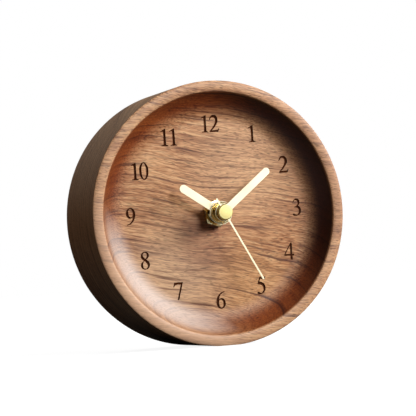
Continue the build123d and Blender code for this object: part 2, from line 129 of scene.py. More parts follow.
rim_radius = case_radius - rim_width
dial_radius = rim_radius - cove_width
crown_foot = case_front + rim_crown
cove_depth = dial - crown_foot
cove_radius = (cove_width ** 2 + cove_depth ** 2) / (2 * cove_depth)
cove_turn = math.degrees(math.asin(cove_width / cove_radius))
case_profile = [(bush_hole, dial)]
case_profile += arc((dial_radius, dial - cove_radius), cove_radius, cove_radius, 90, 90 - cove_turn, 24)
case_profile += arc((case_radius - rim_width / 2, crown_foot), rim_width / 2, rim_crown, 180, 360, 32)[1:]
case_profile += arc((case_radius - rear_round, case_back - rear_round), rear_round, rear_round, 0, 90, 5)
case_profile += arc((pocket_radius + rear_round, case_back - rear_round), rear_round, rear_round, 90, 180, 5)
case_profile += [(pocket_radius, web_back), (bush_hole, web_back), (bush_hole, dial)]
case = turned("turned_case", case_profile, steps=256)

# The foot is planed off level with the table.
bpy.ops.object.mode_set(mode="EDIT")
bpy.ops.mesh.select_all(action="SELECT")
bpy.ops.mesh.bisect(plane_co=(0, 0, 0), plane_no=(0, 0, 1), use_fill=True, clear_inner=True, threshold=MERGE)
bpy.ops.mesh.select_all(action="SELECT")
bpy.ops.mesh.normals_make_consistent(inside=False)
bpy.ops.object.mode_set(mode="OBJECT")


def linear(code):
    """An sRGB hex colour as the linear numbers that a shader takes."""
    parts = [int(code[at:at + 2], 16) / 255 for at in (1, 3, 5)]
    return [p / 12.92 if p <= 0.04045 else ((p + 0.055) / 1.055) ** 2.4 for p in parts] + [1]


def connect(node, sockets):
    """Sets the sockets of a node to values, or links them to the sockets of other nodes."""
    for name, value in sockets.items():
        if isinstance(value, bpy.types.NodeSocket):
            node.id_data.links.new(value, node.inputs[name])
        else:
            node.inputs[name].default_value = value


def add(tree, kind, sockets=None, stops=None, **settings):
    """One shader node, with its settings, its colour stops and its sockets, set or linked."""
    node = tree.nodes.new("ShaderNode" + kind)
    for name, value in settings.items():
        setattr(node, name, value)
    for place, code in stops or []:
        ends = node.color_ramp.elements
        stop = ends[0] if place == stops[0][0] else ends[-1] if place == stops[-1][0] else ends.new(place)
        stop.position = place
        stop.color = linear(code)
    connect(node, sockets or {})
    return node


def surface(name):
    """A new material, with its tree, its shader and the place on the piece in millimetres."""
    material = bpy.data.materials.new(name)
    material.use_nodes = True
    tree = material.node_tree
    tree.nodes.clear()
    shader = add(tree, "BsdfPrincipled")
    add(tree, "OutputMaterial", {"Surface": shader.outputs[0]})
    place = add(tree, "TexCoord").outputs["Object"]
    at = add(tree, "Mapping", {"Vector": place, "Scale": (1 / MM, 1 / MM, 1 / MM)}).outputs[0]
    return material, tree, shader, at


def from_shaft(tree, at):
    """The place on the piece as seen from the shaft, and its distance from the shaft, in millimetres."""
    beside = add(tree, "VectorMath", {0: at, 1: shaft / MM}, operation="SUBTRACT").outputs[0]
    flat = add(tree, "VectorMath", {0: beside, 1: (1, 0, 1)}, operation="MULTIPLY")
    return beside, add(tree, "VectorMath", {0: flat.outputs[0]}, operation="LENGTH").outputs["Value"]


# Lacquered walnut: a brown, straight-grained wood whose fibres run from left to right. It gives the
# eye fine wavy lines, purple-brown streaks and paler clouds that run on from the rim over the dial.
# Places and sizes of its patterns are millimetres, along the fibres first and then across.
walnut, tree, shader, at = surface("lacquered_walnut")
pith = (0, 80, -70)
grain_slant = math.radians(-9)
rim_outer = case_radius / MM
rim_inner = rim_radius / MM
dial_outer = dial_radius / MM
rim_face = case_front / MM

# The fibres lie a little aslant and wander, in a slow drift and a small ripple.
along = add(tree, "Mapping", {"Vector": at, "Rotation": (0, grain_slant, 0)}).outputs[0]
bent = along
for stretch, swing in ((48, 9), (11, 0.4)):
    sway = add(tree, "TexNoise", {"Vector": along, "Scale": 1 / stretch, "Detail": 1.0})
    sway = add(tree, "VectorMath", {0: sway.outputs["Color"], 1: (0.5, 0.5, 0.5)}, operation="SUBTRACT")
    sway = add(tree, "VectorMath", {0: sway.outputs[0], 1: (0, swing, swing)}, operation="MULTIPLY")
    bent = add(tree, "VectorMath", {0: bent, 1: sway.outputs[0]}, operation="ADD").outputs[0]

# The year rings lie about a pith behind and below the block, and are cut as long bands and fine lines.
apart = add(tree, "VectorMath", {0: bent, 1: pith}, operation="SUBTRACT")
apart = add(tree, "VectorMath", {0: apart.outputs[0], 1: (0, 1, 1)}, operation="MULTIPLY")
ring = add(tree, "VectorMath", {0: apart.outputs[0]}, operation="LENGTH").outputs["Value"]
split = add(tree, "SeparateXYZ", {"Vector": bent})
layers = add(tree, "CombineXYZ", {"X": split.outputs["X"], "Y": ring}).outputs[0]
band_map = add(tree, "Mapping", {"Vector": layers, "Scale": (1 / 70, 1 / 6, 1)})
band = add(tree, "TexNoise", {"Vector": band_map.outputs[0], "Scale": 1.0, "Detail": 1.0})
line_map = add(tree, "Mapping", {"Vector": layers, "Scale": (1 / 34, 1 / 0.9, 1)})
line = add(tree, "TexNoise", {"Vector": line_map.outputs[0], "Scale": 1.0, "Detail": 2.0, "Roughness": 0.6})
fibre_map = add(tree, "Mapping", {"Vector": bent, "Scale": (1 / 7, 1 / 0.42, 1 / 0.42)})
fibre = add(tree, "TexNoise", {"Vector": fibre_map.outputs[0], "Scale": 1.0, "Detail": 1.0})
cloud = add(tree, "TexNoise", {"Vector": at, "Scale": 1 / 28, "Detail": 1.0})
tone = 0.0
for pattern, weight in ((band, 0.2), (line, 0.32), (fibre, 0.34), (cloud, 0.14)):
    tone = add(tree, "Math", {0: pattern.outputs["Fac"], 1: weight, 2: tone}, operation="MULTIPLY_ADD")
    tone = tone.outputs[0]

# Where the turned faces cut across the fibres, the grain shows as dots and as faint rings from the tool.
centred, reach = from_shaft(tree, at)
wall = add(tree, "MapRange", {"Value": reach, "From Min": rim_outer - 0.6, "From Max": rim_outer - 0.2})
inside = add(tree, "MapRange", {"Value": reach, "From Min": rim_inner + 0.4, "From Max": rim_inner - 0.4})
lie = add(tree, "SeparateXYZ", {"Vector": add(tree, "NewGeometry").outputs["Normal"]})
end = add(tree, "Math", {0: lie.outputs["X"]}, operation="ABSOLUTE")
end = add(tree, "MapRange", {"Value": end.outputs[0], "From Min": 0.4, "From Max": 0.9})
most = add(tree, "MapRange", {"Value": wall.outputs[0], "To Min": 0.55, "To Max": 0.85})
end = add(tree, "Math", {0: end.outputs[0], 1: most.outputs[0]}, operation="MULTIPLY").outputs[0]
dot = add(tree, "TexNoise", {"Vector": at, "Scale": 1 / 0.7, "Detail": 1.0})
tool_map = add(tree, "Mapping", {"Vector": at, "Scale": (1 / 60, 1 / 0.9, 1 / 60)})
tool = add(tree, "TexNoise", {"Vector": tool_map.outputs[0], "Scale": 1.0, "Detail": 3.0, "Roughness": 0.6})
dot = add(tree, "Mix", {0: 0.75, 2: dot.outputs["Fac"], 3: tool.outputs["Fac"]})
dot = add(tree, "MapRange", {"Value": dot.outputs[0], "From Min": 0.32, "From Max": 0.68, "To Min": 0.38,
                             "To Max": 0.58})
tone = add(tree, "Mix", {0: end, 2: tone, 3: dot.outputs[0]})
browns = [(0.385, "#6f3a1c"), (0.46, "#a26b42"), (0.50, "#b78257"), (0.54, "#c69265"), (0.61, "#d8a878")]
wood = add(tree, "ValToRGB", {"Fac": tone.outputs[0]}, stops=browns).outputs[0]

# Broad patches, each with its middle, how far it fades, how strong it is and its colour: one is a paler tone
# of the wood, the others are a painted sheen, painted shade and a painted shadow.
tone_and_painted_light_patches = (
    # A painted sheen at the lower left of the dial.
    ((-27, -15, 23), 38, 0.42, "#dfbe9c"),
    # A painted sheen low on the dial, below the hub.
    ((10, -14, 26), 26, 0.4, "#c8945f"),
    # A paler tone of the wood above the hub.
    ((0, -14, 76), 36, 0.4, "#deb48c"),
    # Painted shade at the right, where the rim shades the dial.
    ((40, -14, 70), 32, 0.42, "#9a6844"),
    # Painted shade at the upper right, where the rim shades the dial.
    ((24, -14, 90), 24, 0.42, "#a2744e"),
    # The painted shadow of the hub, to its lower left.
    ((-14, -14, 47), 20, 0.5, "#814831"),
)
for middle, fade, strength, code in tone_and_painted_light_patches:
    far = add(tree, "VectorMath", {0: bent, 1: middle}, operation="DISTANCE").outputs["Value"]
    part = add(tree, "MapRange", {"Value": far, "From Min": fade, "From Max": fade / 6, "To Max": strength},
               interpolation_type="SMOOTHSTEP")
    wood = add(tree, "Mix", {0: part.outputs[0], 6: wood, 7: linear(code)}, data_type="RGBA").outputs[2]

# Dark streaks follow the rings, and a few longer veins each have a middle, a height and half their size.
streak_map = add(tree, "Mapping", {"Vector": layers, "Location": (9, 3, 0), "Scale": (1 / 38, 1 / 1.3, 1)})
streak = add(tree, "TexNoise", {"Vector": streak_map.outputs[0], "Scale": 1.0, "Detail": 2.0})
streak = add(tree, "MapRange", {"Value": streak.outputs["Fac"], "From Min": 0.57, "From Max": 0.71,
                                "To Max": 0.9})
side_grain = add(tree, "Math", {0: 1.0, 1: end}, operation="SUBTRACT")
streak = add(tree, "Math", {0: streak.outputs[0], 1: side_grain.outputs[0]}, operation="MULTIPLY")
wood = add(tree, "Mix", {0: streak.outputs[0], 6: wood, 7: linear("#5a2e1e")}, data_type="RGBA").outputs[2]
veins = ((-39, 69.5, 17, 0.7), (16, 62, 16, 0.9), (-26, 89, 14, 0.6), (2, 84, 12, 0.5), (-8, 34, 18, 0.6))
for middle, height, half_length, half_width in veins:
    vein = line.outputs["Fac"]
    for axis, place, edge, core, full in (("Z", height, half_width, 0, 0.7),
                                          ("X", middle, half_length, half_length / 3, 1.0)):
        off = add(tree, "Math", {0: split.outputs[axis], 1: place}, operation="SUBTRACT")
        off = add(tree, "Math", {0: off.outputs[0]}, operation="ABSOLUTE")
        near = add(tree, "MapRange", {"Value": off.outputs[0], "From Min": edge, "From Max": core,
                                      "To Max": full}, interpolation_type="SMOOTHSTEP")
        vein = add(tree, "Math", {0: vein, 1: near.outputs[0]}, operation="MULTIPLY").outputs[0]
    wood = add(tree, "Mix", {0: vein, 6: wood, 7: linear("#6a3826")}, data_type="RGBA").outputs[2]

# The cove is painted darker and redder than the dial as painted shade, darkest to the right where the rim
# shades it. At the lower left it is painted paler, with a pale bloom in it, as a painted sheen, and the crown
# of the rim is painted paler as painted light, most at the lower left.
depth = add(tree, "SeparateXYZ", {"Vector": at}).outputs["Y"]
painted_shade_limit = -10
front = add(tree, "MapRange", {"Value": depth, "From Min": painted_shade_limit + 2, "From Max": painted_shade_limit})
# The cove, from the dial's edge to the rim and only at the front, takes the painted shade and sheen.
cove_shade_mask = add(tree, "MapRange", {"Value": reach, "From Min": dial_outer - 1.5, "From Max": dial_outer + 8.5},
            interpolation_type="SMOOTHSTEP")
for limit in (inside, front):
    cove_shade_mask = add(tree, "Math", {0: cove_shade_mask.outputs[0], 1: limit.outputs[0]}, operation="MULTIPLY")
# Painted sheen: towards the lower left the cove is painted paler.
low_left = add(tree, "VectorMath", {0: centred, 1: (-0.70, 0, -0.71)}, operation="DOT_PRODUCT")
painted_sheen_side = add(tree, "MapRange", {"Value": low_left.outputs["Value"], "From Min": 22, "From Max": 46},
             interpolation_type="SMOOTHSTEP").outputs[0]
# Painted shade: the cove is painted darker towards the right.
right = add(tree, "VectorMath", {0: centred, 1: (0.93, 0, 0.37)}, operation="DOT_PRODUCT")
painted_shade_right = add(tree, "MapRange", {"Value": right.outputs["Value"], "From Min": 12, "From Max": 40},
            interpolation_type="SMOOTHSTEP").outputs[0]
# The cove's colour: painted shade, paler where the painted sheen lies and darkest to the right.
stain_and_painted_light = add(tree, "Mix", {0: painted_sheen_side, 6: linear("#a26d47"), 7: linear("#d0c4bb")}, data_type="RGBA").outputs[2]
stain_and_painted_light = add(tree, "Mix", {0: painted_shade_right, 6: stain_and_painted_light, 7: linear("#4a2b1a")}, data_type="RGBA").outputs[2]
stain_and_painted_light = add(tree, "Mix", {0: cove_shade_mask.outputs[0], 6: (1, 1, 1, 1), 7: stain_and_painted_light}, data_type="RGBA").outputs[2]
wood = add(tree, "Mix", {0: 1.0, 6: wood, 7: stain_and_painted_light}, data_type="RGBA", blend_type="MULTIPLY").outputs[2]
# A pale painted bloom in the lower left of the cove, a painted sheen.
painted_bloom = add(tree, "MapRange", {"Value": painted_sheen_side, "From Min": 0.3, "To Max": 0.5}).outputs[0]
for start, stop in ((dial_outer - 1.0, dial_outer + 5.0), (rim_inner + 0.4, rim_inner - 3.8)):
    edge = add(tree, "MapRange", {"Value": reach, "From Min": start, "From Max": stop},
               interpolation_type="SMOOTHSTEP")
    painted_bloom = add(tree, "Math", {0: painted_bloom, 1: edge.outputs[0]}, operation="MULTIPLY").outputs[0]
wood = add(tree, "Mix", {0: painted_bloom, 6: wood, 7: linear("#dccdc5")}, data_type="RGBA").outputs[2]
# Painted light: the crown of the rim is painted paler, most at the lower left.
rim_painted_light = add(tree, "MapRange", {"Value": depth, "From Min": rim_face + 0.8, "From Max": rim_face + 0.2})
paler = add(tree, "MapRange", {"Value": painted_sheen_side, "To Min": 0.3, "To Max": 0.62})
rim_painted_light = add(tree, "Math", {0: rim_painted_light.outputs[0], 1: paler.outputs[0]}, operation="MULTIPLY")
wood = add(tree, "Mix", {0: rim_painted_light.outputs[0], 6: wood, 7: linear("#cfa78a")}, data_type="RGBA").outputs[2]

# Short open pores darken the wood and dent the lacquer, and the satin gloss follows the fibres.
pore_map = add(tree, "Mapping", {"Vector": bent, "Scale": (1 / 3, 1 / 0.25, 1 / 0.25)})
pore = add(tree, "TexNoise", {"Vector": pore_map.outputs[0], "Scale": 1.0, "Detail": 0.0})
pore = add(tree, "MapRange", {"Value": pore.outputs["Fac"], "From Min": 0.66, "From Max": 0.56,
                              "To Min": 0.55}).outputs[0]
# The pores fade out under the painted sheen at the lower left.
filled = add(tree, "MapRange", {"Value": painted_sheen_side, "To Min": 1.0, "To Max": 0.35})
wood = add(tree, "Mix", {0: filled.outputs[0], 6: wood, 7: pore}, data_type="RGBA", blend_type="MULTIPLY")
relief = add(tree, "Bump", {"Height": pore, "Strength": 0.3, "Distance": 0.05 * MM})
sheen = add(tree, "MapRange", {"Value": fibre.outputs["Fac"], "To Min": 0.48, "To Max": 0.4})
connect(shader, {"Base Color": wood.outputs[2], "Roughness": sheen.outputs[0], "Normal": relief.outputs[0],
                 "IOR": 1.5, "Specular IOR Level": 0.3})
case.data.materials.append(walnut)

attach(case, "case")
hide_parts("walnut_case")


# Numerals
# Twelve upright hour figures with small serifs, burnt into the dial by a laser to a shallow flat floor.
# Each figure is one or more outlines of points in hundredths of its height, where c marks a corner.
figure_height = 7.4 * MM
figure_ring = 38.5 * MM
figure_lift = 0.86 * MM
figure_depth = 0.4 * MM
figure_weight = 0.12 * MM
round_weight = 0.06 * MM
c = True
six = [
    [(58, 100, c), (40, 96), (19, 80), (6, 56), (3.5, 36), (9, 13), (21, 1), (32, -1.5), (49, 6), (59.5, 31),
     (53, 52), (38, 61), (27, 58.5), (19, 52, c), (24, 70), (37, 87), (58, 97.5, c)],
    [(32, 4.5), (43, 12), (45.5, 28), (41, 46.5), (31, 53), (23, 49.5), (18.5, 37.5), (21.5, 15)],
]
figures = {
    "0": [
        [(32, 101), (52, 84), (59, 50), (52, 16), (32, -1), (12, 16), (5, 50), (12, 84)],
        [(32, 96), (43, 82), (46.5, 50), (43, 18), (32, 4), (21, 18), (17.5, 50), (21, 82)],
    ],
    "1": [
        [(13, 0, c), (13, 3.2, c), (22, 5), (27, 9), (27.5, 16), (27.5, 76), (26, 83.5), (21, 85.5),
         (11, 82.5, c), (11, 86.2, c), (38, 100, c), (40.5, 100, c), (40.5, 14), (41, 8), (45, 4.8),
         (53, 3.2, c), (53, 0, c)],
    ],
    "2": [
        [(4, 0, c), (58, 0, c), (65, 20, c), (61.5, 20, c), (57, 12.5), (49, 10.5, c), (18, 10.5, c),
         (40, 33), (53, 53), (57.5, 72), (50, 92), (32, 100), (14, 92), (5.5, 73, c), (9, 72, c),
         (16, 83.5), (27, 88.5), (39, 83), (43.5, 69.5), (39, 50), (26, 29), (4, 3.2, c)],
    ],
    "3": [
        [(7, 80, c), (16, 94), (30, 100), (46, 94), (51, 80), (47, 66), (38, 57.5, c), (50, 50), (57, 33),
         (52, 13), (38, 1.5), (20, -1.5), (7, 2), (5, 7), (9, 11), (17, 8.5), (27, 4.5), (39, 10),
         (45, 26), (41, 41), (30, 48), (17, 49.5, c), (17, 52, c), (30, 57), (38, 66), (40, 77), (36, 87),
         (26, 91.5), (16, 88), (9.5, 79, c)],
    ],
    "4": [
        [(40, 0, c), (52, 0, c), (52, 24, c), (63, 24, c), (63, 33, c), (52, 33, c), (52, 100, c),
         (44.5, 100, c), (2, 32, c), (2, 24, c), (40, 24, c)],
        [(40, 33, c), (40, 84, c), (8, 33, c)],
    ],
    "5": [
        [(22, 98.5, c), (55, 98.5), (60, 101, c), (57, 88, c), (25, 88, c), (20.5, 72, c), (36, 67),
         (50, 55), (56.5, 37), (51, 15), (36, 1.5), (19, -1.5), (7, 1.5), (4.5, 6.5), (9, 11), (18, 8),
         (27, 4.5), (39, 11), (45, 29), (39, 46), (24, 55), (8.5, 57.5, c)],
    ],
    "6": six,
    "7": [
        [(10, 100, c), (61, 100, c), (61, 97.5, c), (33, -1, c), (24.5, -1, c), (49.5, 88, c), (21, 88),
         (12, 84), (6, 74, c), (3, 75, c)],
    ],
    "8": [
        [(32, 100), (50, 94), (55.5, 79), (50, 65), (40, 56), (53, 42), (58, 25), (51, 6), (31, -1.5),
         (12, 5), (5.5, 22), (10, 37), (23, 49), (12, 60), (7.5, 75), (14, 93)],
        [(31, 96), (42, 90), (45, 79), (41, 68), (35.5, 60.5), (22, 71), (18, 81), (22, 92)],
        [(27.5, 46), (40, 35), (47, 19), (43, 7), (32, 2.5), (20, 8), (16, 23), (19, 36)],
    ],
    "9": [[(63 - x, 98.5 - y, *corner) for x, y, *corner in outline] for outline in six],
}
widths = {digit: 64 for digit in figures}
widths["1"] = 56


def figure_cutter(hour):
    """The figures of one hour as a closed prism that stands through the face of the dial."""
    unit = figure_height / 100
    digits = str(hour)
    turn = math.tau * hour / 12
    middle = shaft + Vector((figure_ring * math.sin(turn), 0, figure_lift + figure_ring * math.cos(turn)))
    pen = -sum(widths[digit] for digit in digits) / 2
    bpy.ops.object.select_all(action="DESELECT")
    bpy.ops.curve.primitive_bezier_curve_add(radius=MM)
    piece = bpy.context.object
    piece.name = f"figure_{hour}"
    drawing = piece.data
    drawing.splines.clear()
    drawing.dimensions = "2D"
    drawing.fill_mode = "BOTH"
    drawing.resolution_u = 5
    drawing.extrude = figure_depth
    for digit in digits:
        for outline in figures[digit]:
            line = drawing.splines.new("BEZIER")
            line.bezier_points.add(len(outline) - 1)
            line.use_cyclic_u = True
            for point, (x, y, *corner) in zip(line.bezier_points, outline):
                point.co = (unit * (x + pen), unit * (y - 50), 0)
                point.handle_left_type = "VECTOR" if corner else "AUTO"
                point.handle_right_type = "VECTOR" if corner else "AUTO"
        pen += widths[digit]
    bpy.ops.object.convert(target="MESH")
    piece.rotation_euler = (math.radians(90), 0, 0)
    piece.location = middle + Vector((0, dial, 0))
    bpy.ops.object.transform_apply(location=True, rotation=True, scale=True)
    bpy.ops.object.mode_set(mode="EDIT")
    bpy.ops.mesh.select_all(action="SELECT")
    bpy.ops.mesh.remove_doubles(threshold=MERGE)
    bpy.ops.mesh.normals_make_consistent(inside=False)
    bpy.ops.transform.shrink_fatten(value=round_weight if hour in (6, 9) else figure_weight)
    bpy.ops.object.mode_set(mode="OBJECT")
    return piece


# Charred wood: the laser leaves a dark brown floor with a faint ash bloom, dull and a little uneven.
char, tree, shader, at = surface("charred_wood")
ash = add(tree, "TexNoise", {"Vector": at, "Scale": 1 / 0.5, "Detail": 2.0})
soot = add(tree, "ValToRGB", {"Fac": ash.outputs["Fac"]}, stops=[(0.3, "#361606"), (0.75, "#55290f")])
connect(shader, {"Base Color": soot.outputs[0], "Roughness": 0.8, "Specular IOR Level": 0.1})


def carve(piece, cutter, operation="DIFFERENCE"):
    """Cuts one mesh by another, which is then thrown away."""
    pick(piece)
    bpy.ops.object.modifier_add(type="BOOLEAN")
    cut = piece.modifiers[-1]
    cut.operation = operation
    cut.object = cutter
    cut.solver = "EXACT"
    cut.material_mode = "TRANSFER"
    bpy.ops.object.modifier_apply(modifier=cut.name)
    bpy.data.objects.remove(cutter)


for hour in range(1, 13):
    cutter = figure_cutter(hour)
    cutter.data.materials.append(char)
    carve(case, cutter)
smooth(case)


# Movement shell
# A square box of black ABS, moulded in one shot: the train's chamber above, the open cell bay below.
# It hangs behind the dial on the bush, and raised signs on the floor of the bay show the cell's way round.
def round_edges(piece, width, degrees):
    """Rounds each edge of a piece whose faces meet at more than an angle."""
    pick(piece)
    bpy.ops.object.modifier_add(type="BEVEL")
    edge = piece.modifiers[-1]
    edge.width = width
    edge.segments = 2
    edge.limit_method = "ANGLE"
    edge.angle_limit = math.radians(degrees)
    bpy.ops.object.modifier_apply(modifier=edge.name)


def eased(name, node, width):
    """A copy of a solid, its loose triangles merged into whole faces and its edges rounded."""
    pick(frame["nodes"][node])
    bpy.ops.object.duplicate()
    piece = bpy.context.object
    bpy.ops.object.parent_clear(type="CLEAR_KEEP_TRANSFORM")
    for key in list(piece.keys()):
        del piece[key]
    piece.name = name
    piece.data.name = name
    piece.data.materials.clear()
    bpy.ops.object.mode_set(mode="EDIT")
    bpy.ops.mesh.select_all(action="SELECT")
    bpy.ops.mesh.customdata_custom_splitnormals_clear()
    bpy.ops.mesh.remove_doubles(threshold=MERGE)
    bpy.ops.mesh.dissolve_limited(angle_limit=math.radians(0.5))
    bpy.ops.object.mode_set(mode="OBJECT")
    round_edges(piece, width, 35)
    smooth(piece)
    return piece


# Black ABS from a spark-eroded mould: nearly black, with a fine even grain that breaks up the shine.
black_abs, tree, shader, at = surface("moulded_black_abs")
grit = add(tree, "TexNoise", {"Vector": at, "Scale": 1 / 0.35, "Detail": 2.0})
flow = add(tree, "TexNoise", {"Vector": at, "Scale": 1 / 14, "Detail": 1.0})
black = add(tree, "ValToRGB", {"Fac": flow.outputs["Fac"]}, stops=[(0.3, "#222224"), (0.7, "#2d2d30")])
dull = add(tree, "MapRange", {"Value": grit.outputs["Fac"], "To Min": 0.38, "To Max": 0.62})
relief = add(tree, "Bump", {"Height": grit.outputs["Fac"], "Strength": 0.35, "Distance": 0.04 * MM})
connect(shader, {"Base Color": black.outputs[0], "Roughness": dull.outputs[0], "Normal": relief.outputs[0],
                 "IOR": 1.54})

shell_edge = 0.18 * MM
shell = eased("moulded_shell", "movement_shell", shell_edge)
shell.data.materials.append(black_abs)
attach(shell, "case")
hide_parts("movement_shell")

cell_low, cell_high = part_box("battery_cell")
cell_axis = (cell_low + cell_high) / 2
cell_radius = (cell_high.z - cell_low.z) / 2
cell_clearance = 0.3 * MM
bay_floor = cell_low.y - cell_clearance
sign_length = 3.6 * MM
sign_width = 0.8 * MM
sign_height = 0.2 * MM
sign_inset = 9 * MM
sign_edge = 0.06 * MM


def bar(name, middle, size):
    """A small raised bar with rounded edges."""
    bpy.ops.object.select_all(action="DESELECT")
    bpy.ops.mesh.primitive_cube_add(size=1, location=middle)
    piece = bpy.context.object
    piece.name = name
    piece.scale = size
    bpy.ops.object.transform_apply(location=True, rotation=True, scale=True)
    bpy.ops.object.mode_set(mode="EDIT")
    bpy.ops.mesh.select_all(action="SELECT")
    bpy.ops.mesh.bevel(offset=sign_edge, segments=2)
    bpy.ops.object.mode_set(mode="OBJECT")
    return piece


for sign, place in (("plus", cell_low.x + sign_inset), ("minus", cell_high.x - sign_inset)):
    middle = Vector((place, bay_floor + sign_height / 2, cell_axis.z))
    mark = bar(f"bay_{sign}", middle, (sign_length, sign_height, sign_width))
    mark.data.materials.append(black_abs)
    if sign == "plus":
        carve(mark, bar("bay_plus_upright", middle, (sign_width, sign_height, sign_length)), "UNION")
    smooth(mark)
    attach(mark, "case")


# Train, motor and circuit
# Resin wheels on steel arbors, a soft iron stator with its copper coil, and a board with chip and crystal.
# They fill the chamber of the shell behind the dial, screwed to its pillars, and keep their plain forms.
def dress(material, *nodes):
    """Gives a material to solids that show in their own form."""
    for node in nodes:
        for place in frame["nodes"][node].material_slots:
            place.material = material


def shade(shader, pattern, colours, roughness, sockets=None):
    """Lets one pattern vary a surface between two colours, and between two values of roughness."""
    tree = shader.id_data
    share = pattern.outputs["Fac"]
    colour = add(tree, "ValToRGB", {"Fac": share}, stops=list(zip((0.3, 0.7), colours)))
    gloss = add(tree, "MapRange", {"Value": share, "To Min": roughness[0], "To Max": roughness[1]})
    connect(shader, {"Base Color": colour.outputs[0], "Roughness": gloss.outputs[0], **(sockets or {})})


# White acetal: a milky moulded resin that slides dry, with soft clouds and a waxy shine.
acetal, tree, shader, at = surface("white_acetal")
haze = add(tree, "TexNoise", {"Vector": at, "Scale": 1 / 5, "Detail": 2.0})
shade(shader, haze, ("#dedbd0", "#efede4"), (0.32, 0.5))
dress(acetal, "train_bridge", "coil_bobbin", "fifth_wheel", "second_wheel", "third_wheel", "minute_gear",
      "motion_wheel", "rotor_pinion")

# Bright steel: drawn and ground, grey with fine lines along the bar.
steel, tree, shader, at = surface("bright_steel")
draw_map = add(tree, "Mapping", {"Vector": at, "Scale": (1 / 0.15, 1 / 6, 1 / 0.15)})
drawn = add(tree, "TexNoise", {"Vector": draw_map.outputs[0], "Scale": 1.0, "Detail": 2.0})
shade(shader, drawn, ("#a9a9a7", "#c9c9c6"), (0.22, 0.42), {"Metallic": 1.0})
dress(steel, "train_screws", "second_arbor", "quartz_crystal")

# Soft iron: blanked sheet with a dull grey oxide skin.
iron, tree, shader, at = surface("annealed_iron")
skin = add(tree, "TexNoise", {"Vector": at, "Scale": 1 / 1.2, "Detail": 3.0})
shade(shader, skin, ("#6d6a66", "#8d8a85"), (0.4, 0.6), {"Metallic": 1.0})
dress(iron, "stator", "coil_core")

# Ferrite: pressed and sintered, dark grey and a little grainy.
ferrite, tree, shader, at = surface("sintered_ferrite")
grain = add(tree, "TexNoise", {"Vector": at, "Scale": 1 / 0.3, "Detail": 2.0})
shade(shader, grain, ("#2c2c2e", "#434346"), (0.5, 0.75))
dress(ferrite, "rotor_magnet")

# Enamelled copper wire: turns side by side, drawn three times as coarse as they are, so that they show.
copper, tree, shader, at = surface("enamelled_copper_wire")
wire_pitch = 0.3
turns = add(tree, "TexWave", {"Vector": at, "Scale": math.tau / (20 * wire_pitch), "Distortion": 0.4},
            wave_type="BANDS", bands_direction="X")
wire = add(tree, "ValToRGB", {"Fac": turns.outputs["Fac"]}, stops=[(0.0, "#7a3a1c"), (0.6, "#c4703c")])
relief = add(tree, "Bump", {"Height": turns.outputs["Fac"], "Strength": 0.6, "Distance": 0.1 * MM})
connect(shader, {"Base Color": wire.outputs[0], "Roughness": 0.35, "Normal": relief.outputs[0],
                 "Metallic": 0.9})
dress(copper, "coil_winding")

# Glass-fibre board: green solder mask over a faint weave.
board, tree, shader, at = surface("glass_fibre_board")
weave = add(tree, "TexChecker", {"Vector": at, "Scale": 1 / 0.5, "Color1": linear("#1d5636"),
                                 "Color2": linear("#236140")})
gloss = add(tree, "MapRange", {"Value": weave.outputs["Fac"], "To Min": 0.3, "To Max": 0.38})
connect(shader, {"Base Color": weave.outputs["Color"], "Roughness": gloss.outputs[0]})
dress(board, "circuit_board")

# Sealing resin: a drop of black epoxy that set with a slightly uneven gloss.
epoxy, tree, shader, at = surface("black_epoxy")
pool = add(tree, "TexNoise", {"Vector": at, "Scale": 1 / 0.9})
black = add(tree, "ValToRGB", {"Fac": pool.outputs["Fac"]}, stops=[(0.3, "#0d0d0d"), (0.7, "#1b1b1c")])
relief = add(tree, "Bump", {"Height": pool.outputs["Fac"], "Strength": 0.3, "Distance": 0.1 * MM})
connect(shader, {"Base Color": black.outputs[0], "Roughness": 0.2, "Normal": relief.outputs[0]})
dress(epoxy, "driver_chip")

# Black rubber: punched sheet, matt with a dusty bloom.
rubber, tree, shader, at = surface("black_rubber_sheet")
dust = add(tree, "TexNoise", {"Vector": at, "Scale": 1 / 0.8, "Detail": 3.0})
black = add(tree, "ValToRGB", {"Fac": dust.outputs["Fac"]}, stops=[(0.3, "#141414"), (0.75, "#2c2b2a")])
connect(shader, {"Base Color": black.outputs[0], "Roughness": 0.85})
dress(rubber, "rubber_washer")


# Cell contacts
# Two strips of nickel-plated spring steel, cut and bent, that stand at the ends of the bay.
# The right one is bowed towards the flat end of the cell, and both have a tail to the board.
nickel, tree, shader, at = surface("nickel_plated_strip")
rolled_map = add(tree, "Mapping", {"Vector": at, "Scale": (1 / 4, 1 / 0.2, 1 / 4)})
rolled = add(tree, "TexNoise", {"Vector": rolled_map.outputs[0], "Scale": 1.0, "Detail": 2.0})
shade(shader, rolled, ("#bfbab0", "#dcd8cf"), (0.2, 0.36), {"Metallic": 1.0})
strip_edge = 0.06 * MM
for side in ("positive", "negative"):
    contact = eased(f"{side}_strip", f"{side}_contact", strip_edge)
    contact.data.materials.append(nickel)
    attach(contact, "case")
    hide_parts(f"{side}_contact")


# Movement cover
# A flat plate of the same black ABS, let into a ledge of the shell, with a collar round the setting arbor.
# A raised arrow bent round the knob shows that it turns both ways.
cover_edge = 0.15 * MM
cover = eased("moulded_cover", "movement_cover", cover_edge)
cover.data.materials.append(black_abs)
knob_low, knob_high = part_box("setting_knob")
knob_axis = Vector(((knob_low.x + knob_high.x) / 2, knob_high.y, (knob_low.z + knob_high.z) / 2))
collar_height = 0.2 * MM
cover_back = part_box("movement_cover")[1].y - collar_height
arrow_radius = 8.6 * MM
arrow_width = 0.9 * MM
arrow_head = 1.5 * MM
arrow_height = 0.25 * MM
arrow_ends = (40, 140)
head_turn = 17


